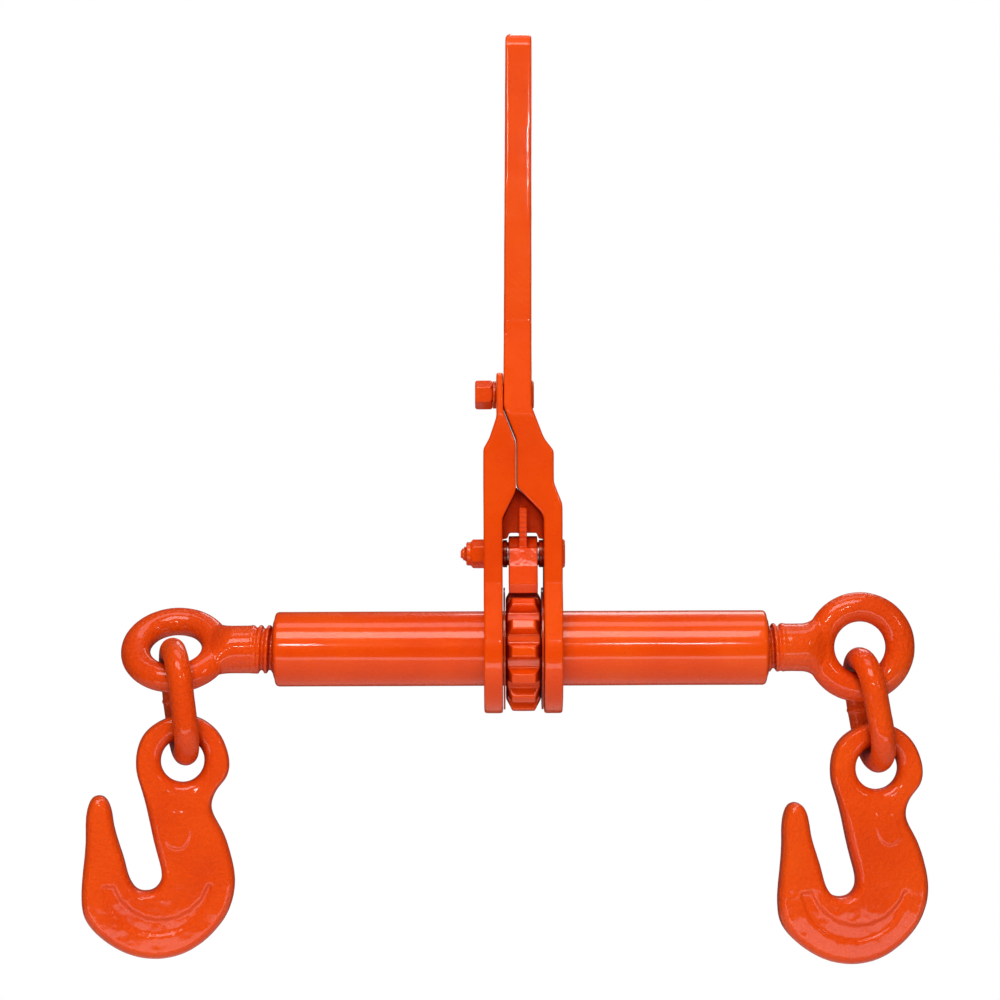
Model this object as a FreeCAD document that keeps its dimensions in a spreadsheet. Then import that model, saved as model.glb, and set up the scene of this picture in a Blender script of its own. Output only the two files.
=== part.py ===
import FreeCAD, Part
import Sketcher
import math
import os
import re

V = FreeCAD.Vector
Rot = FreeCAD.Rotation
Pla = FreeCAD.Placement

os.makedirs("parts", exist_ok=True)
doc = FreeCAD.newDocument("load_binder")

# ----------------------------------------------------------------------------
# Driving dimensions, millimetres and degrees. The barrel axis is X, the handle
# points up +Z, and the origin lies on the barrel axis in the gear's mid plane.
# ----------------------------------------------------------------------------
DIMS = dict(
    barrel_dia=38.0, barrel_left=127.3, barrel_right=124.6, barrel_bore=25.7,
    barrel_core=31.0, barrel_lip=1.6, barrel_cone=2.2, thread_zone=62.0,
    thread_dia=25.0, thread_depth=2.0, thread_pitch=4.2333, thread_tail=114.0,
    shank_dia=24.3, left_gap=10.6, right_gap=7.8, shank_len=9.0, eye_reach=39.2,
    eye_mean=20.5, eye_radial=7.5, eye_half=6.75, eye_tilt=48.0,
    flare_end=22.5, flare_high=21.0,
    gear_tip=32.0, gear_root=27.0, gear_width=17.8, gear_land=11.4, gear_bevel=6.4,
    gear_teeth=14.0, gap_tip=9.3, gap_root=4.9,
    web_gap=10.4, sheet_thick=3.6, neck_gap=3.2, low_edge=19.8, neck_edge=15.5,
    grip_web=9.7, grip_edge=4.5, grip_top=312.0,
    disc_radius=33.0, body_half=25.0, grip_half=16.0, plate_bore=19.06,
    body_low=34.0, body_high=119.0, grip_low=166.0, side_top=139.7,
    pawl_height=48.3, upper_height=129.3, bolt_dia=8.0, bolt_hole=8.3,
    sleeve_dia=12.0, pawl_bore=12.12, pawl_width=14.6, hub_radius=9.0, fin_width=4.0,
    spacer_dia=14.0, spacer_width=2.3, washer_in=38.12, washer_out=62.0, washer_thick=0.9,
    hex_flat=13.0, nut_len=8.2, nut_spacer=4.0, collar_len=2.7, collar_dia=12.0,
    insert_out=10.6, block_half=4.4, plunger_dia=5.2, plunger_bore=5.3,
    plunger_low=57.65, plunger_len=8.0, spring_top=73.6, spring_wire=0.7, spring_dia=4.0,
    link_wire=12.5, link_long=64.8, link_wide=45.0, hook_thick=15.6, eye_thick=13.2,
)
sheet = doc.addObject("Spreadsheet::Sheet", "Sheet")
for row, (alias, value) in enumerate(DIMS.items(), start=1):
    sheet.set("A%d" % row, alias)
    sheet.set("B%d" % row, repr(value))
    sheet.setAlias("B%d" % row, alias)
doc.recompute()


def D(name):
    """A driving dimension, read back from the sheet."""
    return float(getattr(sheet, name))


def ex(text):
    """The expression with each alias written as a reference to the sheet."""
    return re.sub(r"[a-z_]+[a-z]", lambda g: "Sheet." + g.group(0) if g.group(0) in DIMS else g.group(0), str(text))


def num(text):
    return float(plain_value(str(text)))


def plain_value(text):
    """The number that a sum of products of aliases and figures stands for."""
    total = 0.0
    for sign, term in re.findall(r"([+-]?)\s*([^+-]+)", text.replace(" ", "")):
        value = 1.0
        for op, factor in re.findall(r"([*/]?)([^*/]+)", term):
            figure = D(factor) if factor in DIMS else float(factor)
            value = value / figure if op == "/" else value * figure
        total += -value if sign == "-" else value
    return total


def bind(obj, **fields):
    for field, text in fields.items():
        obj.setExpression(field, ex(text))
    return obj


def place(obj, rotation=None, x="0", y="0", z="0"):
    obj.Placement = Pla(V(num(x), num(y), num(z)), rotation or Rot())
    for key, text in (("x", x), ("y", y), ("z", z)):
        if re.search("[a-z]", str(text)):
            obj.setExpression("Placement.Base." + key, ex(text))
    return obj


ALONG_X = Rot(V(0, 1, 0), 90)
PLANE_XZ = Rot(V(1, 0, 0), 90)
PLANE_YZ = Rot(V(1, 1, 1), 120)


def fill_sketch(sketch, points):
    """A closed outline. Each corner is held at its own distances from the origin, bound to the sheet."""
    xy = [(num(a), num(b)) for a, b in points]
    count = len(points)
    for i in range(count):
        a, b = xy[i], xy[(i + 1) % count]
        sketch.addGeometry(Part.LineSegment(V(a[0], a[1], 0), V(b[0], b[1], 0)), False)
    for i in range(count):
        sketch.addConstraint(Sketcher.Constraint("Coincident", i, 2, (i + 1) % count, 1))
    for i, (a, b) in enumerate(points):
        for kind, text, value in (("DistanceX", a, xy[i][0]), ("DistanceY", b, xy[i][1])):
            if abs(value) < 1e-9:
                axis = -2 if kind == "DistanceX" else -1
                sketch.addConstraint(Sketcher.Constraint("PointOnObject", i, 1, axis))
                continue
            n = sketch.addConstraint(Sketcher.Constraint(kind, -1, 1, i, 1, value))
            if re.search("[a-z]", str(text)):
                sketch.setExpression("Constraints[%d]" % n, ex(text))
    return sketch


def prism(name, points, plane, depth, shift="0"):
    """An outline drawn in the XZ or YZ plane, extruded both ways by half its depth."""
    sketch = doc.addObject("Sketcher::SketchObject", name + "_outline")
    sketch.Placement = Pla(V(), plane)
    fill_sketch(sketch, points)
    solid = doc.addObject("Part::Extrusion", name)
    solid.Base = sketch
    solid.DirMode = "Normal"
    solid.Solid = True
    solid.Symmetric = True
    bind(solid, LengthFwd=depth)
    doc.recompute()
    return solid


def body(label):
    b = doc.addObject("PartDesign::Body", label)
    b.Label = label
    return b


def body_sketch(b, name, role, points=None):
    s = b.newObject("Sketcher::SketchObject", name)
    s.AttachmentSupport = [(next(f for f in b.Origin.OriginFeatures if f.Role == role), "")]
    s.MapMode = "FlatFace"
    if points:
        fill_sketch(s, points)
    return s


def turned(label, points):
    """A piece turned about the X axis from its half section, x along the axis and y the radius."""
    b = body(label)
    s = body_sketch(b, label + "_section", "XZ_Plane", points)
    r = b.newObject("PartDesign::Revolution", label + "_turn")
    r.Profile = s
    r.ReferenceAxis = (s, ["H_Axis"])
    r.Angle = 360
    b.Tip = r
    doc.recompute()
    return b


def cyl(name, radius, height, rotation=None, x="0", y="0", z="0"):
    c = doc.addObject("Part::Cylinder", name)
    bind(c, Radius=radius, Height=height)
    return place(c, rotation, x, y, z)


def cut(label, base, *tools):
    out = base
    for i, tool in enumerate(tools):
        c = doc.addObject("Part::Cut", label if i == len(tools) - 1 else label + "_cut%d" % i)
        c.Base, c.Tool = out, tool
        out = c
    out.Label = label
    doc.recompute()
    return out


def fuse(label, *shapes):
    f = doc.addObject("Part::MultiFuse", label)
    f.Shapes = list(shapes)
    f.Refine = True
    f.Label = label
    doc.recompute()
    return f


def common(label, *shapes):
    f = doc.addObject("Part::MultiCommon", label)
    f.Shapes = list(shapes)
    f.Label = label
    doc.recompute()
    return f


def made(label, shape, placement=None):
    """A piece whose form is curved in ways no primitive has; its sizes are read from the sheet."""
    f = doc.addObject("Part::Feature", label)
    f.Label = label
    f.Shape = shape
    if placement:
        f.Placement = placement
    return f


NODES = []

# ----------------------------------------------------------------------------
# Barrel: a thick tube, threaded inside at both ends, with rolled ends.
# ----------------------------------------------------------------------------
barrel = turned("barrel_tube", [
    ("0-barrel_left", "barrel_bore/2"),
    ("0-barrel_left+0.1", "barrel_dia/2-5.2"),
    ("0-barrel_left+barrel_cone-0.9", "barrel_dia/2-1.3"),
    ("0-barrel_left+barrel_cone-0.1", "barrel_dia/2-0.35"),
    ("0-barrel_left+barrel_cone+0.9", "barrel_dia/2"),
    ("barrel_right-barrel_cone-0.9", "barrel_dia/2"),
    ("barrel_right-barrel_cone+0.1", "barrel_dia/2-0.35"),
    ("barrel_right-barrel_cone+0.9", "barrel_dia/2-1.3"),
    ("barrel_right-0.1", "barrel_dia/2-5.2"),
    ("barrel_right", "barrel_bore/2"),
    ("barrel_right-thread_zone", "barrel_bore/2"),
    ("barrel_right-thread_zone-3", "barrel_core/2"),
    ("0-barrel_left+thread_zone+3", "barrel_core/2"),
    ("0-barrel_left+thread_zone", "barrel_bore/2"),
])
NODES.append(barrel)

# ----------------------------------------------------------------------------
# Ratchet gear: 14 blunt teeth with bevelled flanks, a gap at top dead centre.
# ----------------------------------------------------------------------------
gear = body("ratchet_gear")
blank = body_sketch(gear, "gear_section", "XZ_Plane", [
    ("0-gear_width/2", "barrel_dia/2"),
    ("gear_width/2", "barrel_dia/2"),
    ("gear_width/2", "gear_tip-gear_bevel"),
    ("gear_land/2", "gear_tip"),
    ("0-gear_land/2", "gear_tip"),
    ("0-gear_width/2", "gear_tip-gear_bevel"),
])
turn = gear.newObject("PartDesign::Revolution", "gear_turn")
turn.Profile = blank
turn.ReferenceAxis = (blank, ["H_Axis"])
turn.Angle = 360
doc.recompute()
gap = body_sketch(gear, "gear_gap", "YZ_Plane", [
    ("0-gap_root/2", "gear_root"),
    ("gap_root/2", "gear_root"),
    ("gap_tip/2", "gear_tip"),
    ("gap_tip/2+0.9", "gear_tip+2"),
    ("0-gap_tip/2-0.9", "gear_tip+2"),
    ("0-gap_tip/2", "gear_tip"),
])
pocket = gear.newObject("PartDesign::Pocket", "gear_gap_cut")
pocket.Profile = gap
pocket.Type = "ThroughAll"
pocket.Midplane = True
doc.recompute()
teeth = gear.newObject("PartDesign::PolarPattern", "gear_gaps")
teeth.Originals = [pocket]
teeth.Axis = (gap, ["N_Axis"])
teeth.Angle = 360
teeth.setExpression("Occurrences", "Sheet.gear_teeth")
gear.Tip = teeth
doc.recompute()
NODES.append(gear)

# Thrust washers between the gear and the two plates; they keep still while both turn.
for side, low in (("left", "0-web_gap+0.3"), ("right", "web_gap-0.3-washer_thick")):
    NODES.append(turned(side + "_thrust_washer", [
        (low, "washer_in/2"), (low + "+washer_thick", "washer_in/2"),
        (low + "+washer_thick", "washer_out/2"), (low, "washer_out/2"),
    ]))

# ----------------------------------------------------------------------------
# Handle plate and side plate: pressed channels, the web next to the gear and
# the flanges turned outwards all round. The web steps in above the gear until
# both webs lie back to back, then steps left to the grip.
# ----------------------------------------------------------------------------
def pan_outline(inset, top, level=None):
    """Half widths over height, from the disc's tangent up; inset moves every side in."""
    i = "-" + inset if inset else ""
    lift = "-0.9" if inset else ""
    pts = [("31.86" + ("-3.475" if inset else ""), "8.6" + lift),
           ("body_half" + i, "body_low" + lift),
           ("body_half" + i, "body_high" + lift)]
    if level is None:
        corner = "6.5" if not inset else "4"
        pts += [("grip_half" + i, "grip_low" + lift),
                ("grip_half" + i, top + "-" + corner),
                ("grip_half" + i + "-" + corner + "*0.3", top + "-" + corner + "*0.3"),
                ("grip_half" + i + "-" + corner, top)]
    else:
        pts += [("body_half-4" + i, level)]
    return pts + [("0-" + a.replace("-", "+"), b) for a, b in reversed(pts)]


def disc(name, radius):
    return cyl(name, radius, "90", ALONG_X, x="0-45")


def pan(name, inset, top, level=None):
    shaft = prism(name + "_shaft", pan_outline(inset, top, level), PLANE_YZ, "90")
    return fuse(name, shaft, disc(name + "_disc", "disc_radius" + ("-" + inset if inset else "")))


def smooth(name, solid, corners, radius):
    """Round the long edges of a prism that run along Y at the given corners."""
    f = doc.addObject("Part::Fillet", name)
    f.Base = solid
    picks = []
    for n, e in enumerate(solid.Shape.Edges, start=1):
        a, b = e.Vertexes[0].Point, e.Vertexes[-1].Point
        if abs(a.x - b.x) < 1e-6 and abs(a.z - b.z) < 1e-6 and abs(a.y - b.y) > 1:
            for x, z, r in corners:
                if math.hypot(a.x - num(x), a.z - num(z)) < 0.05:
                    picks.append((n, r or radius, r or radius))
    f.Edges = picks
    doc.recompute()
    return f


full = prism("handle_side", [
    ("web_gap", "0-40"), ("web_gap", "68.2"), ("0-neck_gap", "82.4"), ("0-neck_gap", "106"),
    ("0-grip_web", "122.5"), ("0-grip_web+1.73", "grip_top"),
    ("grip_edge+0.73", "grip_top"), ("grip_edge", "123"), ("10.6", "106.8"), ("neck_edge", "100.4"),
    ("neck_edge", "84.6"), ("low_edge", "73.6"), ("low_edge", "0-40"),
], PLANE_XZ, "90")
full = smooth("handle_side_soft", full, [
    ("web_gap", "68.2", 7.0), ("0-neck_gap", "82.4", 3.0), ("0-neck_gap", "106", 9.0),
    ("0-grip_web", "122.5", 7.0), ("grip_edge", "123", 9.0), ("10.6", "106.8", 14.0),
    ("neck_edge", "100.4", 3.5), ("neck_edge", "84.6", 8.0), ("low_edge", "73.6", 9.0),
    ("0-grip_web+1.73", "grip_top", 3.0), ("grip_edge+0.73", "grip_top", 2.6)], 5)
hollow = prism("handle_hollow", [
    ("web_gap+sheet_thick", "0-40"), ("web_gap+sheet_thick", "69.6"),
    ("sheet_thick-neck_gap", "83.8"), ("sheet_thick-neck_gap", "106.7"),
    ("sheet_thick-grip_web", "123.2"), ("sheet_thick-grip_web+1.9", "330"),
    ("60", "330"), ("60", "0-40"),
], PLANE_XZ, "90")
hollow = smooth("handle_hollow_soft", hollow, [
    ("web_gap+sheet_thick", "69.6", 4.0), ("sheet_thick-neck_gap", "83.8", 6.0),
    ("sheet_thick-neck_gap", "106.7", 6.0), ("sheet_thick-grip_web", "123.2", 3.0)], 4)
outer = common("handle_blank", pan("handle_pan", "", "grip_top"), full)
inner = common("handle_inside", pan("handle_room", "sheet_thick", "grip_top-sheet_thick"), hollow)
handle = cut("handle_plate", outer, inner,
             cyl("handle_bore", "plate_bore", "60", ALONG_X),
             cyl("handle_pawl_hole", "bolt_hole/2", "60", ALONG_X, x="0", z="pawl_height"),
             cyl("handle_upper_hole", "bolt_hole/2", "60", ALONG_X, x="0-30", z="upper_height"))
NODES.append(handle)

full = prism("side_side", [
    ("0-web_gap", "0-40"), ("0-web_gap", "66.6"), ("0-neck_gap-0.35", "80.4"), ("0-neck_gap-0.35", "104.8"),
    ("0-grip_web", "120.6"), ("0-grip_web", "side_top"), ("0-grip_web-sheet_thick", "side_top"),
    ("0-grip_web-sheet_thick", "117.5"), ("0-16.9", "106.8"), ("0-20", "101.4"), ("0-20", "0-40"),
], PLANE_XZ, "90")
full = smooth("side_side_soft", full, [
    ("0-web_gap", "66.6", 7.0), ("0-neck_gap-0.35", "80.4", 7.0), ("0-neck_gap-0.35", "104.8", 9.0),
    ("0-grip_web", "120.6", 7.0), ("0-grip_web-sheet_thick", "117.5", 9.0), ("0-16.9", "106.8", 8.0),
    ("0-20", "101.4", 2.5)], 5)
hollow = prism("side_hollow", [
    ("0-web_gap-sheet_thick", "0-40"), ("0-web_gap-sheet_thick", "67.4"),
    ("0-neck_gap-0.35-sheet_thick", "81.2"), ("0-neck_gap-0.35-sheet_thick", "104.1"),
    ("0-grip_web-sheet_thick", "119.9"), ("0-grip_web-sheet_thick", "160"),
    ("0-60", "160"), ("0-60", "0-40"),
], PLANE_XZ, "90")
hollow = smooth("side_hollow_soft", hollow, [
    ("0-web_gap-sheet_thick", "67.4", 4.0), ("0-neck_gap-0.35-sheet_thick", "81.2", 10.0),
    ("0-neck_gap-0.35-sheet_thick", "104.1", 6.0)], 4)
outer = common("side_blank", pan("side_pan", "", "side_top", "side_top"), full)
inner = common("side_inside", pan("side_room", "sheet_thick", "160", "160"), hollow)
side = cut("side_plate", outer, inner,
           cyl("side_bore", "plate_bore", "60", ALONG_X, x="0-60"),
           cyl("side_pawl_hole", "bolt_hole/2", "60", ALONG_X, x="0-60", z="pawl_height"),
           cyl("side_upper_hole", "bolt_hole/2", "60", ALONG_X, x="0-60", z="upper_height"))
NODES.append(side)

# ----------------------------------------------------------------------------
# Pawl: a rocker with a nose each side of the gear's top, a hub on the sleeve
# and two serrated finger fins.
# ----------------------------------------------------------------------------
nose = [("12.2", "51.6"), ("17.2", "42.5"), ("19.4", "33.4"), ("17.7", "28.7"), ("15.5", "28.9"),
        ("13.2", "33.5"), ("8.6", "37.9")]
rocker = prism("pawl_rocker", nose + [("0-" + a, b) for a, b in reversed(nose)], PLANE_YZ, "pawl_width")
hub = cyl("pawl_hub", "hub_radius", "pawl_width", ALONG_X, x="0-pawl_width/2", z="pawl_height")
fin = [("6.4", "53.4"), ("10.9", "72.3"), ("14.6", "72.5"), ("16.1", "71.3")]
for k in range(6):
    fin += [("%.2f" % (15.95 - 0.62 * k), "%.2f" % (69.9 - 2.5 * k)),
            ("%.2f" % (15.05 - 0.62 * k), "%.2f" % (68.9 - 2.5 * k))]
fin += [("10.9", "51.4")]
rear = prism("pawl_rear_fin", fin, PLANE_YZ, "fin_width")
front = prism("pawl_front_fin", [("0-" + a, b) for a, b in reversed(fin)], PLANE_YZ, "fin_width")
notches = []
for k, tilt in enumerate((-12, 0, 12)):
    notch = doc.addObject("Part::Box", "pawl_notch%d" % k)
    notch.Length, notch.Width, notch.Height = 20, 1, 1
    a = math.radians(tilt)
    out = D("hub_radius") + 0.1
    notch.Placement = Pla(V(-10, -out * math.sin(a), D("pawl_height") + out * math.cos(a) - 0.7), Rot(V(1, 0, 0), tilt + 45))
    notches.append(notch)
pawl = cut("pawl", fuse("pawl_solid", rocker, hub, rear, front),
           cyl("pawl_hole", "pawl_bore/2", "40", ALONG_X, x="0-20", z="pawl_height"), *notches)
NODES.append(pawl)

# Sleeve that keeps the webs apart and carries the pawl, with a spacer each side.
sleeve = cut("pawl_sleeve", cyl("sleeve_rod", "sleeve_dia/2", "web_gap*2", ALONG_X, x="0-web_gap", z="pawl_height"),
             cyl("sleeve_hole", "bolt_hole/2", "60", ALONG_X, x="0-30", z="pawl_height"))
NODES.append(sleeve)
for label, low in (("left_pawl_spacer", "0-web_gap+0.05"), ("right_pawl_spacer", "web_gap-0.05-spacer_width")):
    NODES.append(cut(label, cyl(label + "_disc", "spacer_dia/2", "spacer_width", ALONG_X, x=low, z="pawl_height"),
                     cyl(label + "_hole", "pawl_bore/2", "60", ALONG_X, x="0-30", z="pawl_height")))

# ----------------------------------------------------------------------------
# Fasteners
# ----------------------------------------------------------------------------
def hexagon(name, flat, length, x, z):
    """A hexagonal bar along X with its corners turned off at both ends."""
    p = doc.addObject("Part::Prism", name + "_bar")
    p.Polygon = 6
    bind(p, Circumradius=flat + "*0.57735", Height=length)
    place(p, Rot(V(0, 1, 0), 90) * Rot(V(0, 0, 1), 0), x=x, z=z)
    c = doc.addObject("Part::Cylinder", name + "_turned")
    bind(c, Radius=flat + "*0.57735-0.02", Height=length)
    place(c, ALONG_X, x=x, z=z)
    soft = doc.addObject("Part::Chamfer", name + "_cone")
    soft.Base = c
    doc.recompute()
    picks = [(n, 0.9, 0.9) for n, e in enumerate(c.Shape.Edges, start=1) if len(e.Vertexes) == 1 and hasattr(e.Curve, "Radius")]
    soft.Edges = picks
    doc.recompute()
    return common(name, p, soft)


head_x = "web_gap+sheet_thick+1.6"
head = hexagon("pawl_bolt_head", "hex_flat", "5.8", head_x, "pawl_height")
rod = cyl("pawl_bolt_rod", "bolt_dia/2", head_x + "+31.8", ALONG_X, x="0-31.8", z="pawl_height")
NODES.append(fuse("pawl_bolt", head, rod))
NODES.append(cut("pawl_bolt_washer", cyl("pbw_disc", "8", "1.6", ALONG_X, x="web_gap+sheet_thick", z="pawl_height"),
                 cyl("pbw_hole", "bolt_hole/2", "60", ALONG_X, x="0", z="pawl_height")))
NODES.append(cut("pawl_nut_spacer", cyl("pns_disc", "7.6", "nut_spacer", ALONG_X, x="0-web_gap-sheet_thick-nut_spacer", z="pawl_height"),
                 cyl("pns_hole", "bolt_hole/2", "60", ALONG_X, x="0-60", z="pawl_height")))
nut_x = "0-web_gap-sheet_thick-nut_spacer-nut_len"
nut_hex = hexagon("pawl_nut_hex", "hex_flat", "nut_len", nut_x, "pawl_height")
collar = cyl("pawl_nut_collar", "collar_dia/2", "collar_len", ALONG_X, x=nut_x + "-collar_len", z="pawl_height")
collar_soft = doc.addObject("Part::Fillet", "pawl_nut_collar_soft")
collar_soft.Base = collar
doc.recompute()
collar_soft.Edges = [(n, 0.8, 0.8) for n, e in enumerate(collar.Shape.Edges, start=1)
                     if len(e.Vertexes) == 1 and e.CenterOfMass.x < num(nut_x) - 1]
doc.recompute()
NODES.append(cut("pawl_lock_nut", fuse("pawl_nut_solid", nut_hex, collar_soft),
                 cyl("pawl_nut_hole", "bolt_dia/2+0.02", "60", ALONG_X, x="0-60", z="pawl_height"),
                 cyl("pawl_nut_seat", "insert_out/2", "2.2", ALONG_X, x=nut_x + "-collar_len+0.4", z="pawl_height")))
NODES.append(cut("lock_nut_insert", cyl("insert_disc", "insert_out/2-0.02", "2.1", ALONG_X, x=nut_x + "-collar_len+0.45", z="pawl_height"),
                 cyl("insert_hole", "bolt_dia/2+0.01", "60", ALONG_X, x="0-60", z="pawl_height")))

head = hexagon("upper_bolt_head", "hex_flat", "5.4", "0.45", "upper_height")
rod = cyl("upper_bolt_rod", "bolt_dia/2", "22.6", ALONG_X, x="0-22.1", z="upper_height")
NODES.append(fuse("upper_bolt", head, rod))
NODES.append(cut("upper_bolt_spacer", cyl("ubs_disc", "5.4", "6.38", ALONG_X, x="sheet_thick-grip_web+0.17", z="upper_height"),
                 cyl("ubs_hole", "bolt_hole/2", "60", ALONG_X, x="0-30", z="upper_height")))
upper_hex = hexagon("upper_nut_hex", "hex_flat", "8.9", "0-24.1", "upper_height")
NODES.append(cut("upper_nut", upper_hex, cyl("upper_nut_hole", "bolt_dia/2+0.02", "60", ALONG_X, x="0-22.3", z="upper_height")))
NODES.append(cut("upper_spring_washer", cyl("usw_disc", "7.0", "1.75", ALONG_X, x="0-15.15", z="upper_height"),
                 cyl("usw_hole", "bolt_hole/2", "60", ALONG_X, x="0-40", z="upper_height"),
                 place(bind(doc.addObject("Part::Box", "usw_split"), Length="4", Width="1.2", Height="9"),
                       Rot(V(1, 0, 0), 12), x="0-16.5", y="0-0.6", z="upper_height+2.5")))

# ----------------------------------------------------------------------------
# Detent: a block clamped between the webs above the pawl, a plunger and spring.
# ----------------------------------------------------------------------------
wedge = prism("block_wedge", [
    ("0-web_gap", "55.6"), ("0-8.0", "56.1"), ("0-6.9", "58.9"), ("6.9", "58.9"), ("8.0", "56.1"),
    ("web_gap", "55.6"), ("web_gap", "65.0"), ("9.3", "67.3"), ("0-0.9", "78.3"), ("0-3.3", "78.9"), ("0-4.6", "76.2"), ("0-9.8", "66.2"), ("0-web_gap", "64.4"),
], PLANE_XZ, "block_half*2")
NODES.append(cut("detent_block", wedge, cyl("block_bore", "plunger_bore/2", "30", x="0-0.3", z="spring_top-30")))
tip = doc.addObject("Part::Cone", "plunger_tip")
bind(tip, Radius1="plunger_dia/2-1.5", Radius2="plunger_dia/2", Height="1.6")
place(tip, x="0-0.3", z="plunger_low")
NODES.append(fuse("detent_plunger", tip, cyl("plunger_rod", "plunger_dia/2", "plunger_len-1.6", x="0-0.3", z="plunger_low+1.6")))
coil = Part.makeHelix(1.35, 6.2, D("spring_dia") / 2)
flat = [V(D("spring_dia") / 2 + D("spring_wire") / 1.97 * math.cos(math.radians(15 + 30 * n)), 0,
          D("spring_wire") / 1.97 * math.sin(math.radians(15 + 30 * n))) for n in range(12)]
ring = Part.makePolygon(flat + flat[:1])
made("detent_spring", Part.Wire(coil.Edges).makePipeShell([ring], True, True),
     Pla(V(-0.3, 0, D("plunger_low") + D("plunger_len") + 0.55), Rot()))
NODES.append(doc.getObject("detent_spring"))
doc.recompute()

# ----------------------------------------------------------------------------
# Eyebolts: a threaded tail inside the barrel, a short round shank and a forged
# ring. The left ring is turned by its tilt about the barrel axis.
# ----------------------------------------------------------------------------
def eyebolt(label, hand, reach, tilt):
    """hand is -1 for the left one and 1 for the right one; reach is the distance of the thread's end from the origin."""
    b = body(label + "_tail")
    top, root = "thread_dia/2", "thread_dia/2-thread_depth"

    def at(text):
        return "0-" + text.replace("+", "#").replace("-", "+").replace("#", "-") if hand < 0 else text

    section = body_sketch(b, label + "_tail_section", "XZ_Plane", [
        (at(reach + "-thread_tail"), "0"), (at(reach + "-thread_tail"), "thread_dia/2-2.2"),
        (at(reach + "-thread_tail+2"), top), (at(reach), top), (at(reach + "+0.8"), "shank_dia/2"),
        (at(reach + "+shank_len"), "shank_dia/2"), (at(reach + "+shank_len"), "0")])
    r = b.newObject("PartDesign::Revolution", label + "_tail_turn")
    r.Profile = section
    r.ReferenceAxis = (section, ["H_Axis"])
    r.Angle = 360
    doc.recompute()
    first = "3.4"
    cutter = body_sketch(b, label + "_thread_form", "XZ_Plane", [
        (at(reach + "-thread_tail+" + first), "thread_dia/2+0.3"),
        (at(reach + "-thread_tail+" + first + "+1.35"), root),
        (at(reach + "-thread_tail+" + first + "+2.05"), root),
        (at(reach + "-thread_tail+" + first + "+3.4"), "thread_dia/2+0.3")])
    g = b.newObject("PartDesign::Groove", label + "_thread_groove")
    g.Profile = cutter
    g.ReferenceAxis = (cutter, ["H_Axis"])
    g.Angle = 360
    doc.recompute()
    rows = b.newObject("PartDesign::LinearPattern", label + "_threads")
    rows.Originals = [g]
    rows.Direction = (cutter, ["H_Axis"])
    rows.Reversed = hand < 0
    rows.setExpression("Length", "Sheet.thread_pitch * 25")
    rows.Occurrences = 26
    b.Tip = rows
    doc.recompute()

    # the ring, an elliptical section turned about the ring's own axis
    centre = num(at(reach + "+eye_reach"))
    oval = doc.addObject("Part::Ellipse", label + "_ring_section")
    bind(oval, MajorRadius="eye_radial", MinorRadius="eye_half")
    oval.Placement = Pla(V(centre + hand * D("eye_mean"), 0, 0), Rot())
    ringed = doc.addObject("Part::Revolution", label + "_ring")
    ringed.Source = oval
    ringed.Base = V(centre, 0, 0)
    ringed.Axis = V(0, 1, 0)
    ringed.Angle = 360
    ringed.Solid = True
    doc.recompute()
    # the neck, blended from the round shank to the flat of the ring
    stations = [("shank_len", "shank_dia/2", "shank_dia/2"), ("shank_len+3.2", "shank_dia/2+0.5", "shank_dia/2-0.45"),
                ("shank_len+8.0", "shank_dia/2+3.4", "shank_dia/2-2.7"), ("flare_end", "flare_high", "eye_half-1.15")]
    sections = []
    for n, (gone, high, half) in enumerate(stations):
        if n == 0:
            e = bind(doc.addObject("Part::Circle", label + "_neck0"), Radius=high)
        else:
            e = bind(doc.addObject("Part::Ellipse", label + "_neck%d" % n), MajorRadius=high, MinorRadius=half)
        e.Placement = Pla(V(num(at(reach + "+" + gone)), 0, 0), Rot(V(0, 1, 0), 90))
        sections.append(e)
    neck = doc.addObject("Part::Loft", label + "_neck")
    neck.Sections = sections
    neck.Solid = True
    doc.recompute()
    solid = fuse(label + "_forging", ringed, neck, b)
    out = made(label, solid.Shape.copy())
    s = solid.Shape.copy()
    if tilt:
        s.rotate(V(0, 0, 0), V(1, 0, 0), tilt)
    out.Shape = s
    return out


NODES.append(eyebolt("left_eyebolt", -1, "barrel_left+left_gap", -D("eye_tilt")))
NODES.append(eyebolt("right_eyebolt", 1, "barrel_right+right_gap", 0))
left_ring = V(-(D("barrel_left") + D("left_gap") + D("eye_reach")), 0, 0)
right_ring = V(D("barrel_right") + D("right_gap") + D("eye_reach"), 0, 0)

# ----------------------------------------------------------------------------
# Connecting links: round wire bent to an oval and welded on one side.
# ----------------------------------------------------------------------------
def link_shape():
    """In the YZ plane, its top wire's centre at the origin, hanging down."""
    bend = (D("link_wide") - D("link_wire")) / 2
    run = D("link_long") - D("link_wide")
    wire = D("link_wire") / 2
    top = Part.makeTorus(bend, wire, V(0, 0, -bend), V(1, 0, 0))
    low = Part.makeTorus(bend, wire, V(0, 0, -bend - run), V(1, 0, 0))
    upper = Part.makeBox(80, 80, 80, V(-40, -40, -bend))
    lower = Part.makeBox(80, 80, 80, V(-40, -40, -bend - run - 80))
    arms = [Part.makeCylinder(wire, run, V(0, y, -bend - run), V(0, 0, 1)) for y in (-bend, bend)]
    bead = Part.makeTorus(wire - 0.35, 0.9, V(0, bend, -bend - run / 2), V(0, 0, 1))
    s = top.common(upper)
    for piece in (low.common(lower), arms[0], arms[1], bead):
        s = s.fuse(piece)
    return s.removeSplitter()


def swung(seat, turn, lean):
    """Rotation of a link about its seat: turned about Z, then leaned in the XZ plane."""
    return Pla(seat, Rot(V(0, 1, 0), -lean) * Rot(V(0, 0, 1), turn))


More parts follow.
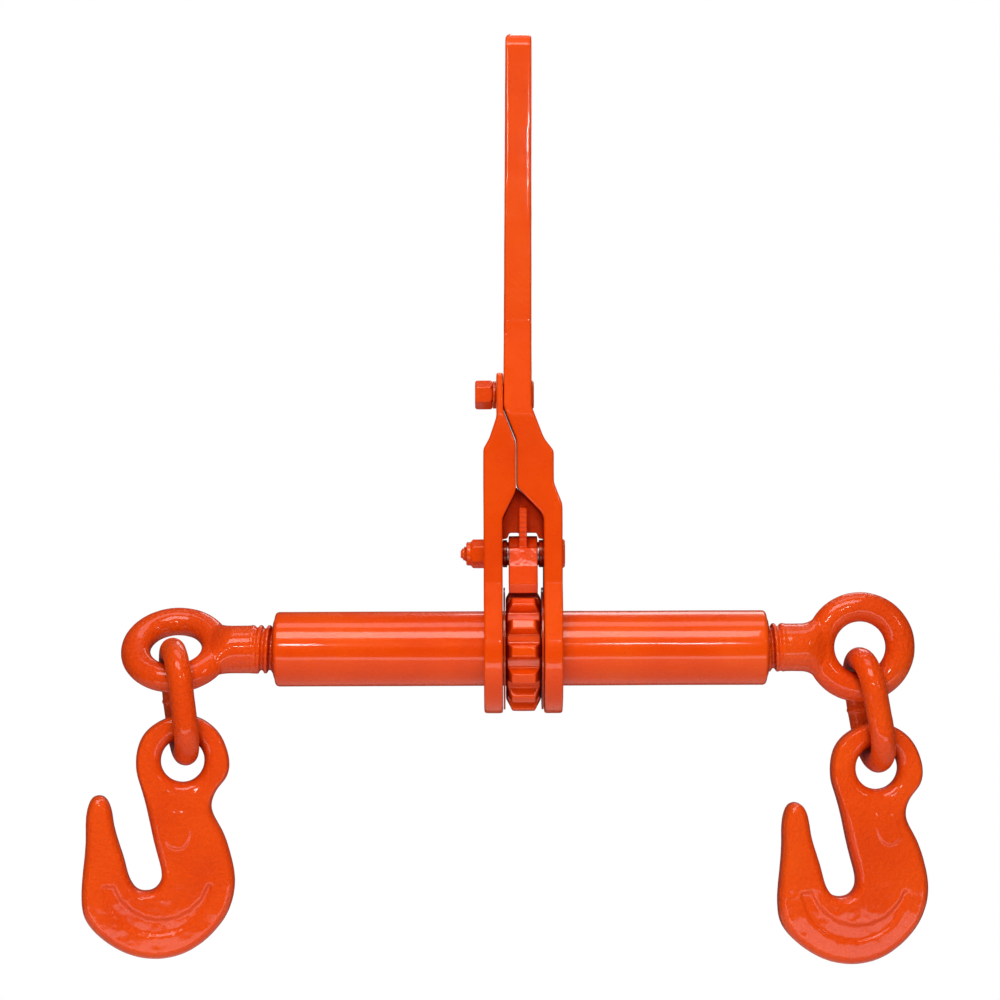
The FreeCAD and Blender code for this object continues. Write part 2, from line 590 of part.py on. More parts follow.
drop = D("link_long") - D("link_wire")
tilt = math.radians(D("eye_tilt"))
rise = math.sqrt((D("eye_radial") * math.cos(tilt)) ** 2 + (D("eye_half") * math.sin(tilt)) ** 2)
left_seat = left_ring + V(0, -D("eye_mean") * math.sin(tilt), -D("eye_mean") * math.cos(tilt) + rise + D("link_wire") / 2 + 0.95)
right_seat = right_ring + V(0, 0, -D("eye_mean") + D("eye_radial") + D("link_wire") / 2 + 0.45)
LEAN = {"left": 6.8, "right": 10.0}
TURN = {"left": 13.0, "right": 10.0}
links, hook_pins = {}, {}
for name, seat in (("left", left_seat), ("right", right_seat)):
    p = swung(seat, TURN[name], LEAN[name])
    links[name] = p
    NODES.append(made(name + "_link", link_shape(), p))
    hook_pins[name] = p.multVec(V(0, 0, -drop))

# ----------------------------------------------------------------------------
# Grab hooks: drop forged, flat faced with bevelled edges. The outline is given
# about the eye's centre, x to the right and z up.
# ----------------------------------------------------------------------------
OUTER = [(0.0, 22.9), (8.5, 21.3), (17.2, 14.9), (22.4, 5.0), (23.5, -1.5), (22.0, -8.6), (17.9, -14.0),
         (15.2, -19.3), (14.6, -23.9), (18.8, -33.8), (24.3, -48.9), (26.1, -60.4), (23.1, -75.2),
         (14.4, -87.5), (0.2, -97.1), (-13.5, -99.6), (-27.8, -96.8), (-40.2, -89.4), (-49.5, -77.7),
         (-50.8, -69.0), (-50.2, -56.6), (-48.6, -38.1), (-47.4, -22.5)]
TIP = [(-44.6, -18.0), (-41.8, -17.2), (-39.2, -18.0)]
INNER = [(-37.1, -20.5), (-34.4, -32.0), (-29.1, -50.5), (-25.5, -61.5), (-22.4, -64.7), (-18.7, -65.5),
         (-14.4, -64.4), (-11.3, -60.4), (-10.9, -56.6), (-13.0, -46.8), (-16.1, -33.8), (-19.2, -19.6),
         (-20.9, -13.6)]
EYE_LEFT = [(-22.8, -7.4), (-23.4, 1.0), (-20.2, 12.2), (-12.6, 19.2)]


def hook_outline(grow=0.0, y=0.0):
    """A closed smooth wire in the XZ plane at height y along Y; grow moves it outwards."""
    pts = [V(x, 0, z) for x, z in OUTER + TIP + INNER + EYE_LEFT]
    moved = []
    for i, p in enumerate(pts):
        t = (pts[(i + 1) % len(pts)] - pts[i - 1]).normalize()
        n = V(-t.z, 0, t.x)
        moved.append(p + n * grow + V(0, y, 0))
    curve = Part.BSplineCurve()
    curve.interpolate(Points=moved, PeriodicFlag=True)
    return Part.Wire([curve.toShape()])


def hook_shape():
    half = D("hook_thick") / 2
    layers = [(-half, -3.2), (-half + 1.3, -1.4), (-half + 4.0, -0.1), (half - 4.0, -0.1), (half - 1.3, -1.4), (half, -3.2)]
    wires = [hook_outline(g, y) for y, g in layers]
    solid = Part.makeLoft(wires, True, True)
    # the eye is thinner than the bowl, with a short ramp below it
    thin = D("eye_thick") / 2
    for s in (-1, 1):
        ramp = Part.Face(Part.makePolygon([V(-60, s * thin, 40), V(-60, s * thin, -13), V(-60, s * (half + 0.1), -25),
                                           V(-60, s * 20, -25), V(-60, s * 20, 40), V(-60, s * thin, 40)]))
        solid = solid.cut(ramp.extrude(V(120, 0, 0)))
    # its hole is rounded right through so that a link can roll in it
    radius, edge = 10.9, 5.6
    hole = Part.makeCylinder(radius, 40, V(0, -20, 0), V(0, 1, 0))
    flare = []
    for s in (-1, 1):
        block = Part.makeCylinder(radius + edge, edge + 2, V(0, s * (thin - edge), 0), V(0, s, 0))
        cheek = Part.makeTorus(radius + edge, edge, V(0, s * (thin - edge), 0), V(0, 1, 0))
        flare.append(block.cut(cheek))
    solid = solid.cut(hole.fuse(flare))
    # a plain crescent recess on each face of the bowl
    for s in (-1, 1):
        moon = Part.makeCylinder(27.5, 3, V(-13.0, s * (half - 0.9), -60.0), V(0, s, 0))
        moon = moon.cut(Part.makeCylinder(24.5, 8, V(-11.0, s * (half - 3), -54.5), V(0, s, 0)))
        keep = Part.makeBox(80, 20, 60, V(-53, -10 if s < 0 else -10, -130 + 8))
        solid = solid.cut(moon.common(keep))
    return solid


def hook_place(name, turn_back, turn):
    """The eye hangs below the link's lower wire, its rim just clear of it; turn is about Z."""
    pin = hook_pins[name]
    below = 10.9 - D("link_wire") / 2 - 0.8
    lean = math.radians(turn_back)
    return Pla(pin + V(-below * math.sin(lean), 0, -below * math.cos(lean)), Rot(V(0, 0, 1), turn))


form = hook_shape()
NODES.append(made("left_grab_hook", form.copy(), hook_place("left", 20, 6)))
NODES.append(made("right_grab_hook", form.copy(), hook_place("right", 15, 4)))
doc.recompute()

# ----------------------------------------------------------------------------
# Check every object and write each piece
# ----------------------------------------------------------------------------
bad = [o.Name + " " + ",".join(o.State) for o in doc.Objects if "Invalid" in o.State or "Error" in o.State]
for node in NODES:
    if node.Shape.isNull() or not node.Shape.isValid() or node.Shape.Volume < 1 or not node.Shape.Solids:
        bad.append(node.Label + " has no sound shape")
if bad:
    raise SystemExit("failed: " + "; ".join(bad))
for node in NODES:
    shape = node.Shape
    if shape.ShapeType == "Compound" and len(shape.Solids) == 1:
        shape = shape.Solids[0]
    shape.exportStep("parts/%s.step" % node.Label)
    b = shape.BoundBox
    print("%-22s solids %d  volume %10.1f  X %.1f..%.1f  Y %.1f..%.1f  Z %.1f..%.1f" % (
        node.Label, len(shape.Solids), shape.Volume, b.XMin, b.XMax, b.YMin, b.YMax, b.ZMin, b.ZMax))
for name in ("left", "right"):
    p = links[name]
    axis = p.Rotation.multVec(V(0, 1, 0))
    print(name, "pin", hook_pins[name], "axis", axis, "seat", left_seat if name == "left" else right_seat)
for side in ("left", "right"):
    print("eye", side, doc.getObject(side + "_grab_hook").Placement.Base)
print("rings", left_ring, right_ring, "pieces", len(NODES))
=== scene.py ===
import math

import bmesh
import bpy
import numpy as np
from mathutils import Matrix, Vector, noise


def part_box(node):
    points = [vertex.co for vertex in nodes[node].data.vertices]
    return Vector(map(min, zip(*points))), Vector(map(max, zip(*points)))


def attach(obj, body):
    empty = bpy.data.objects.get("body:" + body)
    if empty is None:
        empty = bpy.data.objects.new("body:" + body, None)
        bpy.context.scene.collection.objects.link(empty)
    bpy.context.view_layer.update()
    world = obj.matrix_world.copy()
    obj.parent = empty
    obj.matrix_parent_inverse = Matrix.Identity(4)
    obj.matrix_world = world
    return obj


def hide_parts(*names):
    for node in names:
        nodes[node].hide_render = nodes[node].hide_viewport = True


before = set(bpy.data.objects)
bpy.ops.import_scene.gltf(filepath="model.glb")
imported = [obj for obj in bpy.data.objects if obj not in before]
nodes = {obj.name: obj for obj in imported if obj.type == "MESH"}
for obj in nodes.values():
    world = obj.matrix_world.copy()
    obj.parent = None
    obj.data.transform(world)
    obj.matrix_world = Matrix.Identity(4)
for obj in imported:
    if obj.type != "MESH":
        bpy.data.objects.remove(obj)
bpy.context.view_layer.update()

scene = bpy.context.scene
MM = 0.001

# ----------------------------------------------------------------------------
# Camera, at the height of the model's middle, looking along +Y
# ----------------------------------------------------------------------------
CAM_X, CAM_Z, CAM_D = -11.6 * MM, 75.7 * MM, 1.45
cam_data = bpy.data.cameras.new("camera")
cam = bpy.data.objects.new("camera", cam_data)
scene.collection.objects.link(cam)
cam_data.sensor_width = 36.0
cam_data.lens = 36.0 * CAM_D / 0.510
cam.location = (CAM_X, -CAM_D, CAM_Z)
cam.rotation_euler = (math.radians(90), math.radians(0.22), 0)
scene.camera = cam
scene.view_settings.view_transform = "Standard"


# ----------------------------------------------------------------------------
# Materials
# ----------------------------------------------------------------------------
def nodes_of(name):
    m = bpy.data.materials.new(name)
    m.use_nodes = True
    t = m.node_tree
    for n in list(t.nodes):
        t.nodes.remove(n)
    out = t.nodes.new("ShaderNodeOutputMaterial")
    bsdf = t.nodes.new("ShaderNodeBsdfPrincipled")
    t.links.new(bsdf.outputs[0], out.inputs[0])
    coord = t.nodes.new("ShaderNodeTexCoord")
    return m, t, bsdf, coord


def noise_node(t, coord, scale, detail=3.0, rough=0.55, stretch=None):
    n = t.nodes.new("ShaderNodeTexNoise")
    n.inputs["Scale"].default_value = scale
    n.inputs["Detail"].default_value = detail
    n.inputs["Roughness"].default_value = rough
    if stretch:
        mp = t.nodes.new("ShaderNodeMapping")
        mp.inputs["Scale"].default_value = stretch
        t.links.new(coord.outputs["Object"], mp.inputs["Vector"])
        t.links.new(mp.outputs["Vector"], n.inputs["Vector"])
    else:
        t.links.new(coord.outputs["Object"], n.inputs["Vector"])
    return n


def ramp(t, source, stops):
    r = t.nodes.new("ShaderNodeValToRGB")
    r.color_ramp.elements[0].position, r.color_ramp.elements[0].color = stops[0]
    r.color_ramp.elements[1].position, r.color_ramp.elements[1].color = stops[-1]
    for p, c in stops[1:-1]:
        e = r.color_ramp.elements.new(p)
        e.color = c
    t.links.new(source, r.inputs["Fac"])
    return r


def mix(t, fac, a, b, kind="MIX"):
    m = t.nodes.new("ShaderNodeMix")
    m.data_type = "RGBA"
    m.blend_type = kind
    for socket, value in ((m.inputs[0], fac), (m.inputs[6], a), (m.inputs[7], b)):
        if isinstance(value, (int, float)):
            socket.default_value = value
        elif isinstance(value, tuple):
            socket.default_value = value
        else:
            t.links.new(value, socket)
    return m.outputs[2]


def paint(name, base, deep, pale, rough=0.24, peel=0.06, cast=0.0, cast_scale=260, coat=0.55, grain=None):
    """Thick glossy enamel: colour that varies a little with film thickness, painted shade that
    darkens the recesses, an orange-peel surface, sunk dust specks, and below it the texture of the metal."""
    m, t, b, co = nodes_of(name)
    broad = noise_node(t, co, 26.0, 3.0, 0.5)
    tone = ramp(t, broad.outputs["Fac"], [(0.30, deep + (1,)), (0.52, base + (1,)), (0.75, pale + (1,))])
    # painted shade: the colour is darkened wherever ambient occlusion finds a recess within 7 mm
    ao = t.nodes.new("ShaderNodeAmbientOcclusion")
    ao.inputs["Distance"].default_value = 0.007
    ao.samples = 6
    recess_painted_shade = ramp(t, ao.outputs["AO"], [(0.25, (0.34, 0.02, 0.003, 1)), (0.78, (1, 1, 1, 1))])
    colour = mix(t, 1.0, tone.outputs["Color"], recess_painted_shade.outputs["Color"], "MULTIPLY")
    speck = noise_node(t, co, 1500.0, 1.0, 0.4)
    dots = ramp(t, speck.outputs["Fac"], [(0.70, (0, 0, 0, 1)), (0.78, (1, 1, 1, 1))])
    colour = mix(t, dots.outputs["Color"], colour, tuple(c * 0.72 for c in base) + (1,))
    t.links.new(colour, b.inputs["Base Color"])
    rr = noise_node(t, co, 90.0, 4.0, 0.6)
    rv = t.nodes.new("ShaderNodeMapRange")
    rv.inputs["From Min"].default_value, rv.inputs["From Max"].default_value = 0.3, 0.7
    rv.inputs["To Min"].default_value, rv.inputs["To Max"].default_value = rough - 0.06, rough + 0.10
    t.links.new(rr.outputs["Fac"], rv.inputs["Value"])
    t.links.new(rv.outputs["Result"], b.inputs["Roughness"])
    b.inputs["Coat Weight"].default_value = coat
    b.inputs["Coat Roughness"].default_value = 0.07
    b.inputs["Coat IOR"].default_value = 1.45
    b.inputs["Specular IOR Level"].default_value = 0.3
    b.inputs["Specular Tint"].default_value = (1.0, 0.42, 0.20, 1.0)
    fine = noise_node(t, co, 620.0, 2.0, 0.5)
    bump1 = t.nodes.new("ShaderNodeBump")
    bump1.inputs["Strength"].default_value = peel
    bump1.inputs["Distance"].default_value = 0.0006
    t.links.new(fine.outputs["Fac"], bump1.inputs["Height"])
    last = bump1
    if cast:
        rough_skin = noise_node(t, co, cast_scale, 5.0, 0.62)
        bump2 = t.nodes.new("ShaderNodeBump")
        bump2.inputs["Strength"].default_value = cast
        bump2.inputs["Distance"].default_value = 0.0012
        t.links.new(rough_skin.outputs["Fac"], bump2.inputs["Height"])
        t.links.new(bump1.outputs[0], bump2.inputs["Normal"])
        last = bump2
    if grain:
        lines = noise_node(t, co, 300.0, 4.0, 0.6, stretch=grain)
        bump3 = t.nodes.new("ShaderNodeBump")
        bump3.inputs["Strength"].default_value = 0.16
        bump3.inputs["Distance"].default_value = 0.0006
        t.links.new(lines.outputs["Fac"], bump3.inputs["Height"])
        t.links.new(last.outputs[0], bump3.inputs["Normal"])
        last = bump3
    t.links.new(last.outputs[0], b.inputs["Normal"])
    return m


def steel(name, base, rough, grain):
    m, t, b, co = nodes_of(name)
    n = noise_node(t, co, 240.0, 4.0, 0.6, stretch=grain)
    r = ramp(t, n.outputs["Fac"], [(0.3, tuple(c * 0.7 for c in base) + (1,)), (0.7, base + (1,))])
    t.links.new(r.outputs["Color"], b.inputs["Base Color"])
    b.inputs["Metallic"].default_value = 1.0
    rv = t.nodes.new("ShaderNodeMapRange")
    rv.inputs["To Min"].default_value, rv.inputs["To Max"].default_value = rough - 0.08, rough + 0.12
    t.links.new(n.outputs["Fac"], rv.inputs["Value"])
    t.links.new(rv.outputs["Result"], b.inputs["Roughness"])
    bump = t.nodes.new("ShaderNodeBump")
    bump.inputs["Strength"].default_value = 0.15
    bump.inputs["Distance"].default_value = 0.0003
    t.links.new(n.outputs["Fac"], bump.inputs["Height"])
    t.links.new(bump.outputs[0], b.inputs["Normal"])
    return m


BASE, DEEP, PALE = (0.92, 0.070, 0.001), (0.85, 0.056, 0.0008), (0.95, 0.088, 0.002)
forged = paint("orange_enamel_forged", BASE, DEEP, PALE, rough=0.25, peel=0.10, cast=0.9, cast_scale=480)
pressed = paint("orange_enamel_sheet", BASE, DEEP, PALE, rough=0.27, peel=0.13, cast=0.07, cast_scale=420)
tube = paint("orange_enamel_tube", BASE, DEEP, PALE, rough=0.26, peel=0.16, cast=0.10, cast_scale=330, grain=(0.18, 2.4, 2.4))
wheel = paint("orange_enamel_gear", BASE, DEEP, PALE, rough=0.23, peel=0.10, cast=0.22, cast_scale=300)
small = paint("orange_enamel_fasteners", BASE, DEEP, PALE, rough=0.22, peel=0.12, cast=0.12, cast_scale=500)
washer_steel = steel("oiled_washer_steel", (0.56, 0.54, 0.50), 0.38, (1, 1, 1))
spring_steel = steel("oiled_spring_steel", (0.42, 0.42, 0.43), 0.32, (1, 1, 6))


# ----------------------------------------------------------------------------
# Mesh helpers
# ----------------------------------------------------------------------------
def new_object(name, mesh):
    o = bpy.data.objects.new(name, mesh)
    scene.collection.objects.link(o)
    return o


def welded_copy(node, keep=None):
    """The node's mesh with its seams joined, optionally cut so that only what keep says stays, and closed again."""
    bm = bmesh.new()
    bm.from_mesh(nodes[node].data)
    bmesh.ops.remove_doubles(bm, verts=bm.verts, dist=2e-6)
    if keep:
        point, normal = keep
        cut = bmesh.ops.bisect_plane(bm, geom=bm.verts[:] + bm.edges[:] + bm.faces[:], plane_co=point,
                                     plane_no=normal, clear_inner=True)
        rim = [e for e in cut["geom_cut"] if isinstance(e, bmesh.types.BMEdge)]
        bmesh.ops.holes_fill(bm, edges=rim, sides=0)
    bmesh.ops.recalc_face_normals(bm, faces=bm.faces)
    me = bpy.data.meshes.new(node + "_copy")
    bm.to_mesh(me)
    bm.free()
    return me


def join(meshes, name):
    bm = bmesh.new()
    for me in meshes:
        bm.from_mesh(me)
    out = bpy.data.meshes.new(name)
    bm.to_mesh(out)
    bm.free()
    return out


def height_field(x0, x1, radius_at, around=96, step=0.35, centre=(0.0, 0.0)):
    """A closed rod along X whose radius, in mm, follows radius_at(x, angle). centre is its (y, z)."""
    count = int(math.ceil(abs(x1 - x0) / step)) + 1
    xs = np.linspace(x0, x1, count)
    th = np.linspace(0, 2 * math.pi, around, endpoint=False)
    X, T = np.meshgrid(xs, th, indexing="ij")
    R = radius_at(X, T)
    P = np.stack([X, centre[0] + R * np.cos(T), centre[1] + R * np.sin(T)], -1).reshape(-1, 3) * MM
    verts = [tuple(p) for p in P]
    faces = []
    for i in range(count - 1):
        for k in range(around):
            a, b = i * around + k, i * around + (k + 1) % around
            faces.append((a, a + around, b + around, b))
    faces.append(tuple(range(around)))
    faces.append(tuple(reversed(range((count - 1) * around, count * around))))
    me = bpy.data.meshes.new("rod")
    me.from_pydata(verts, [], faces)
    bm = bmesh.new()
    bm.from_mesh(me)
    bmesh.ops.recalc_face_normals(bm, faces=bm.faces)
    bm.to_mesh(me)
    bm.free()
    return me


def turned_mesh(profile, around=192, centre=(0.0, 0.0)):
    """A closed ring turned about X from a closed profile of (x, r) in mm."""
    th = np.linspace(0, 2 * math.pi, around, endpoint=False)
    verts, faces = [], []
    for x, r in profile:
        for a in th:
            verts.append((x * MM, (centre[0] + r * math.cos(a)) * MM, (centre[1] + r * math.sin(a)) * MM))
    n = len(profile)
    for i in range(n):
        j = (i + 1) % n
        for k in range(around):
            l = (k + 1) % around
            faces.append((i * around + k, j * around + k, j * around + l, i * around + l))
    me = bpy.data.meshes.new("turned")
    me.from_pydata(verts, [], faces)
    bm = bmesh.new()
    bm.from_mesh(me)
    bmesh.ops.recalc_face_normals(bm, faces=bm.faces)
    bm.to_mesh(me)
    bm.free()
    return me


def skin(name, mesh, voxel, smooth=6, factor=0.5, ripple=0.0, ripple_size=9.0, seed=0):
    """Fuses closed shells into one even skin, rounds its edges as thick paint does, and gives a
    forged surface its low waves."""
    o = new_object(name, mesh)
    r = o.modifiers.new("skin", "REMESH")
    r.mode = "VOXEL"
    r.voxel_size = voxel * MM
    r.use_smooth_shade = True
    if smooth:
        s = o.modifiers.new("rounded", "SMOOTH")
        s.factor = factor
        s.iterations = smooth
    dg = bpy.context.evaluated_depsgraph_get()
    me = bpy.data.meshes.new_from_object(o.evaluated_get(dg))
    o.modifiers.clear()
    o.data = me
    me.name = name
    if ripple:
        n = len(me.vertices)
        co = np.empty(n * 3)
        no = np.empty(n * 3)
        me.vertices.foreach_get("co", co)
        me.vertices.foreach_get("normal", no)
        co, no = co.reshape(-1, 3), no.reshape(-1, 3)
        k = 1.0 / (ripple_size * MM)
        off = Vector((seed * 7.3, seed * 3.1, seed * 1.7))
        h = np.array([noise.noise(Vector(p) * k + off) + 0.45 * noise.noise(Vector(p) * k * 2.6 + off) for p in co])
        co += no * (h * ripple * MM)[:, None]
        me.vertices.foreach_set("co", co.ravel())
        me.update()
    me.polygons.foreach_set("use_smooth", [True] * len(me.polygons))
    return o


def finish_piece(o, body, node, material):
    o.data.materials.clear()
    o.data.materials.append(material)
    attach(o, body)
    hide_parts(*([node] if isinstance(node, str) else node))
    return o


# ----------------------------------------------------------------------------
# Barrel: rolled ends, plain bore, narrower over the last 62 mm at both mouths
# ----------------------------------------------------------------------------
lo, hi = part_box("barrel_tube")
BL, BR = lo.x / MM, hi.x / MM
outer = []


def arc(cx, cr, rad, a0, a1, n=6):
    return [(cx + rad * math.cos(math.radians(a0 + (a1 - a0) * i / n)), cr + rad * math.sin(math.radians(a0 + (a1 - a0) * i / n))) for i in range(n + 1)]


profile = [(BL, 12.95), (BL, 13.6)]
profile += [(BL + 0.12, 14.2), (BL + 0.9, 16.2)]
profile += arc(BL + 3.0, 17.0, 2.0, 170, 90, 8)
profile += [(x, 19.0) for x in np.linspace(BL + 6, -10.5, 60)]
profile += [(x, 19.0) for x in np.linspace(10.5, BR - 6, 60)]
profile += arc(BR - 3.0, 17.0, 2.0, 90, 10, 8)
profile += [(BR - 0.9, 16.2), (BR - 0.12, 14.2), (BR, 13.6), (BR, 12.95), (BR - 62, 12.95), (BR - 65, 15.5), (BL + 65, 15.5), (BL + 62, 12.95)]
barrel_me = turned_mesh(profile, 200)
co = np.empty(len(barrel_me.vertices) * 3)
barrel_me.vertices.foreach_get("co", co)
co = co.reshape(-1, 3)
rad = np.hypot(co[:, 1], co[:, 2])
wave = np.array([noise.noise(Vector((p[0] * 26, math.atan2(p[2], p[1]) * 1.1, 3.0))) for p in co])
scale = np.where(rad > 18.5 * MM, 1 + wave * 0.10 * MM / np.maximum(rad, 1e-6), 1.0)
co[:, 1] *= scale
co[:, 2] *= scale
barrel_me.vertices.foreach_set("co", co.ravel())
barrel_me.polygons.foreach_set("use_smooth", [True] * len(barrel_me.polygons))
barrel_me.update()
barrel = new_object("barrel_tube_painted", barrel_me)
finish_piece(barrel, "barrel", "barrel_tube", tube)

# ----------------------------------------------------------------------------
# Eyebolts: the ring and neck as forged, with a real helical thread on the tail
# ----------------------------------------------------------------------------
PITCH = 4.2333


def thread_form(hand, tip, root_end, major, depth, pitch, phase=0.0):
    """Radius of a rounded thread. hand 1 is right-handed. It fades out towards root_end and is chamfered at tip."""
    def radius(X, T):
        f = (X / pitch - hand * T / (2 * math.pi) + phase) % 1.0
        tri = np.abs(f - 0.5) * 2.0
        form = np.clip((tri - 0.16) / 0.62, 0, 1)
        form = form * form * (3 - 2 * form)
        far = np.clip(np.abs(X - root_end) / (0.9 * pitch), 0, 1)
        d = depth * (far * far * (3 - 2 * far))
        r = major - d * (1 - form)
        return r - np.clip(2.2 - np.abs(X - tip), 0, 2.2) * 0.9
    return radius


def eyebolt(side, sign, phase):
    node = side + "_eyebolt"
    lo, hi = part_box(node)
    end = (BL - 10.6) if sign < 0 else (BR + 7.8)
    tip = end + 114.0 if sign < 0 else end - 114.0
    point = Vector(((end + sign * 1.2) * MM, 0, 0))
    ring = welded_copy(node, (point, Vector((sign, 0, 0))))
    major = 12.45

    def shank(X, T):
        return np.full_like(X, 12.13)
    tail = height_field(tip, end + sign * 0.2, thread_form(sign, tip, end + sign * 0.2, major, 2.0, PITCH, phase), 128, 0.3)
    neck = height_field(end - sign * 0.6, end + sign * 2.6, shank, 128, 0.5)
    o = skin(node + "_painted", join([ring, tail, neck], node), 0.52, 5, 0.5, 0.07, 7.0, 3 if sign > 0 else 5)
    return finish_piece(o, node, node, forged)


eyebolt("left", -1, 0.30)
eyebolt("right", 1, 0.15)

# ----------------------------------------------------------------------------
# Links and hooks
# ----------------------------------------------------------------------------
def panel(o, eye, turn, ovals):
    """A plain raised pad forged on the face of a hook. ovals: (x, z, half width, half height, tilt) from the eye, in mm."""
    me = o.data
    n = len(me.vertices)
    co, no = np.empty(n * 3), np.empty(n * 3)
    me.vertices.foreach_get("co", co)
    me.vertices.foreach_get("normal", no)
    co, no = co.reshape(-1, 3), no.reshape(-1, 3)
    a = math.radians(turn)
    along = np.array((math.cos(a), math.sin(a), 0.0))
    out = np.array((math.sin(a), -math.cos(a), 0.0))
    rel = (co - np.array(eye) * MM) / MM
    x, z = rel @ along, rel[:, 2]
    facing = np.clip((no @ out - 0.8) / 0.15, 0, 1)
    rise = np.zeros(n)
    for cx, cz, hw, hh, tilt in ovals:
        t = math.radians(tilt)
        u = ((x - cx) * math.cos(t) + (z - cz) * math.sin(t)) / hw
        v = (-(x - cx) * math.sin(t) + (z - cz) * math.cos(t)) / hh
        q = (np.abs(u) ** 2.6 + np.abs(v) ** 2.6) ** (1 / 2.6)
        pad = np.clip((1.0 - q) * min(hw, hh) / 1.1 + 0.5, 0, 1)
        rise += 0.34 * pad * pad * (3 - 2 * pad)
    co += (facing * rise)[:, None] * out * MM
    me.vertices.foreach_set("co", co.ravel())
    me.update()


HOOKS = {
    "left": ((-172.22, -15.23, -54.97), 6.0, ((-2.4, -34.5, 6.2, 9.4, -8),)),
    "right": ((179.69, 0.0, -61.52), 4.0, ((4.2, -30.0, 5.6, 8.8, 22),)),
}
for side, seed in (("left", 11), ("right", 13)):
    o = skin(side + "_link_painted", welded_copy(side + "_link"), 0.5, 5, 0.5, 0.12, 8.0, seed)
    finish_piece(o, side + "_link", side + "_link", forged)
    o = skin(side + "_grab_hook_painted", welded_copy(side + "_grab_hook"), 0.58, 4, 0.5, 0.09, 10.0, seed + 20)
    panel(o, *HOOKS[side])
    finish_piece(o, side + "_hook", side + "_grab_hook", forged)

# ----------------------------------------------------------------------------
# Gear, pawl and plates
# ----------------------------------------------------------------------------
o = skin("ratchet_gear_painted", welded_copy("ratchet_gear"), 0.45, 7, 0.5, 0.08, 5.0, 31)
finish_piece(o, "barrel", "ratchet_gear", wheel)
o = skin("pawl_painted", welded_copy("pawl"), 0.36, 5, 0.5, 0.05, 4.0, 33)
finish_piece(o, "pawl", "pawl", wheel)
# thin lips of the block, closed up to the two webs with paint
lips = []
for y0, y1 in ((-4.3, -3.1), (3.1, 4.3)):
    ring = [(-10.6, 63.0), (-10.6, 66.8), (-3.95, 80.9), (-3.35, 82.2), (10.6, 68.4), (10.6, 63.0)]
    verts = [(x * MM, y * MM, z * MM) for y in (y0, y1) for x, z in ring]
    k = len(ring)
    sides = [(i, (i + 1) % k, k + (i + 1) % k, k + i) for i in range(k)]
    lip = bpy.data.meshes.new("lip")
    lip.from_pydata(verts, [], sides + [tuple(range(k))[::-1], tuple(range(k, 2 * k))])
    lb = bmesh.new()
    lb.from_mesh(lip)
    bmesh.ops.recalc_face_normals(lb, faces=lb.faces)
    lb.to_mesh(lip)
    lb.free()
    lips.append(lip)
o = skin("detent_block_painted", join([welded_copy("detent_block")] + lips, "detent_block"), 0.4, 5, 0.5, 0.05, 4.0, 34)
finish_piece(o, "handle", "detent_block", wheel)
o = skin("handle_plate_painted", welded_copy("handle_plate"), 0.72, 8, 0.5, 0.07, 16.0, 41)
finish_piece(o, "handle", "handle_plate", pressed)
o = skin("side_plate_painted", welded_copy("side_plate"), 0.72, 8, 0.5, 0.07, 16.0, 43)
finish_piece(o, "handle", "side_plate", pressed)

# ----------------------------------------------------------------------------
# Fasteners, under the same paint
# ----------------------------------------------------------------------------
PAWL_Z = 48.3


def bolt(node, head_plane, tip_x, z, body, seed):
    head = welded_copy(node, (Vector((head_plane * MM, 0, 0)), Vector((1, 0, 0))))
    rod = height_field(tip_x, head_plane + 1.0, thread_form(1, tip_x, tip_x + 16.0, 3.95, 0.62, 1.25), 72, 0.16, (0.0, z))
    o = skin(node + "_painted", join([head, rod], node), 0.26, 3, 0.5, 0.03, 3.0, seed)
    return finish_piece(o, body, node, small)


lo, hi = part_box("pawl_bolt")
bolt("pawl_bolt", hi.x / MM - 5.7, lo.x / MM, PAWL_Z, "handle", 51)
lo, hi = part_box("upper_bolt")
bolt("upper_bolt", hi.x / MM - 5.3, lo.x / MM, 129.3, "handle", 52)
for n, (node, voxel) in enumerate((("pawl_lock_nut", 0.3), ("upper_nut", 0.3), ("pawl_bolt_washer", 0.3), ("pawl_nut_spacer", 0.34),
                                   ("upper_bolt_spacer", 0.34), ("upper_spring_washer", 0.3), ("left_pawl_spacer", 0.3), ("right_pawl_spacer", 0.3))):
    o = skin(node + "_painted", welded_copy(node), voxel, 4, 0.5, 0.03, 3.0, 60 + n)
    finish_piece(o, "handle", node, small)

# painted shade: the thrust washers get orange overspray much darker than the other paint, standing in for the shade in
# the gaps beside the gear
shade_darkened_overspray = paint("orange_overspray_darkened_as_painted_shade", (0.50, 0.030, 0.001), (0.30, 0.018, 0.001), (0.62, 0.045, 0.002), rough=0.36, peel=0.12, cast=0.2)
for node, material in (("left_thrust_washer", shade_darkened_overspray), ("right_thrust_washer", shade_darkened_overspray),
                       ("pawl_sleeve", spring_steel), ("detent_plunger", spring_steel), ("detent_spring", spring_steel),
                       ("lock_nut_insert", small)):
    me = nodes[node].data
    me.materials.clear()
    me.materials.append(material)

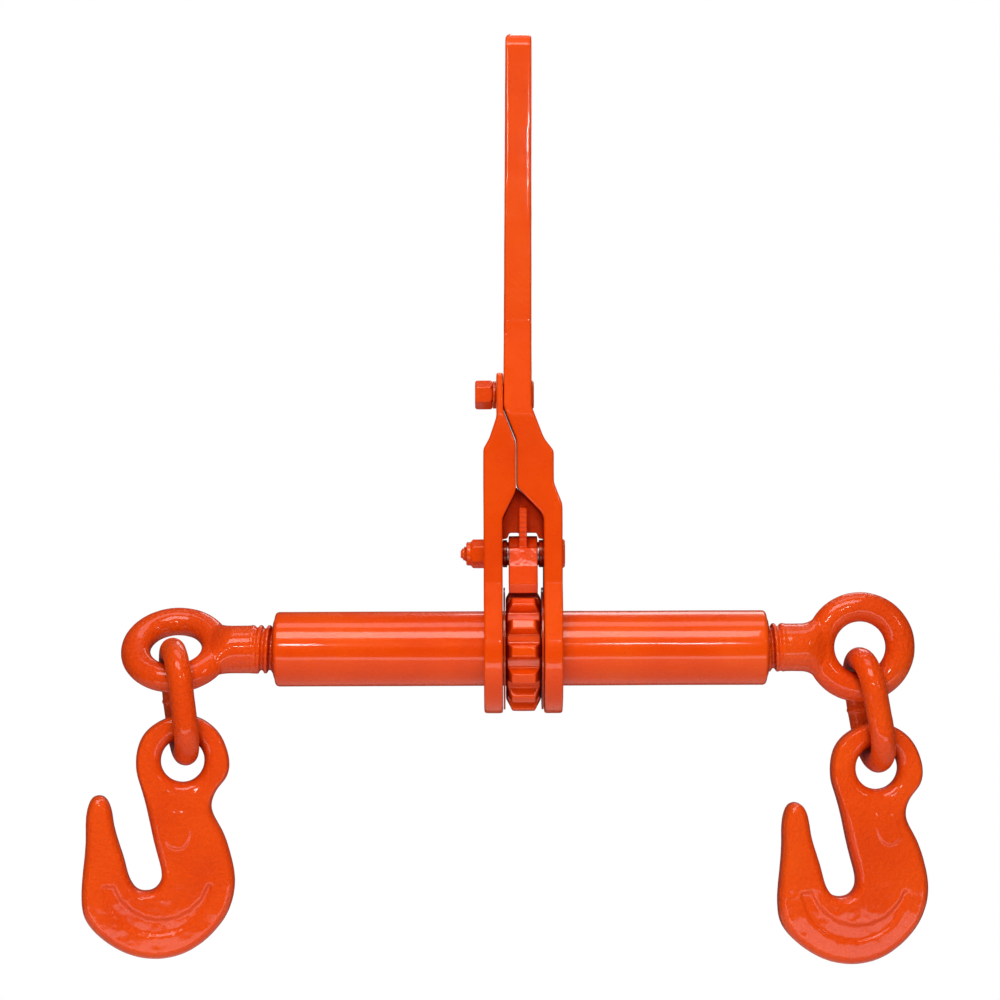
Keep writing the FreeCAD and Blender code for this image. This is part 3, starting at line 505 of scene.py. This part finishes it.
# ----------------------------------------------------------------------------
# Stage and light
# ----------------------------------------------------------------------------
def pale_floor():
    step = 24
    verts = [(-0.9 + 1.8 * i / step, -0.75 + 1.14 * k / step, -0.345) for k in range(step + 1) for i in range(step + 1)]
    faces = [(k * (step + 1) + i, k * (step + 1) + i + 1, (k + 1) * (step + 1) + i + 1, (k + 1) * (step + 1) + i)
             for k in range(step) for i in range(step)]
    me = bpy.data.meshes.new("floor")
    me.from_pydata(verts, [], faces)
    o = new_object("floor", me)
    m, t, b, co = nodes_of("pale_floor")
    n = noise_node(t, co, 3.0, 2.0, 0.5)
    r = ramp(t, n.outputs["Fac"], [(0.3, (0.84, 0.84, 0.84, 1)), (0.7, (0.90, 0.90, 0.90, 1))])
    t.links.new(r.outputs["Color"], b.inputs["Base Color"])
    b.inputs["Roughness"].default_value = 0.9
    me.materials.append(m)


pale_floor()


def area(name, where, target, size, energy, colour=(1, 1, 1)):
    d = bpy.data.lights.new(name, "AREA")
    d.shape = "RECTANGLE"
    d.size, d.size_y = size
    d.energy = energy
    d.color = colour
    o = bpy.data.objects.new(name, d)
    scene.collection.objects.link(o)
    o.location = where
    o.rotation_euler = (Vector(target) - Vector(where)).to_track_quat("-Z", "Y").to_euler()
    return o


area("key_softbox", (-0.25, -1.35, 1.45), (0, 0, 0.06), (1.2, 0.7), 23.0)
area("top_softbox", (0.0, -0.20, 1.30), (0, 0, 0.0), (0.9, 0.4), 3.6)
area("window_right", (0.17, -1.72, 0.47), (0.03, 0, 0.0), (0.17, 0.06), 1.7)
area("window_left_a", (-0.34, -1.65, 0.50), (-0.1, 0, 0.0), (0.05, 0.14), 1.2)
area("window_left_b", (-0.25, -1.65, 0.50), (-0.1, 0, 0.0), (0.05, 0.14), 1.2)
area("side_window", (1.10, -1.20, 0.50), (0.1, 0, 0.0), (0.12, 0.40), 1.6)
area("low_strip", (0.0, -0.50, -0.25), (0, 0, 0.0), (1.1, 0.08), 0.9)
area("back_fill", (0.35, 1.30, 1.25), (0, 0, 0.05), (0.8, 0.5), 5.0)
world = bpy.data.worlds.new("studio")
world.use_nodes = True
wt = world.node_tree
ray = wt.nodes.new("ShaderNodeLightPath")
level = wt.nodes.new("ShaderNodeMapRange")
level.inputs["To Min"].default_value = 0.06
level.inputs["To Max"].default_value = 1.0
wt.links.new(ray.outputs["Is Camera Ray"], level.inputs["Value"])
wt.nodes["Background"].inputs[0].default_value = (1, 1, 1, 1)
wt.links.new(level.outputs["Result"], wt.nodes["Background"].inputs[1])
scene.world = world
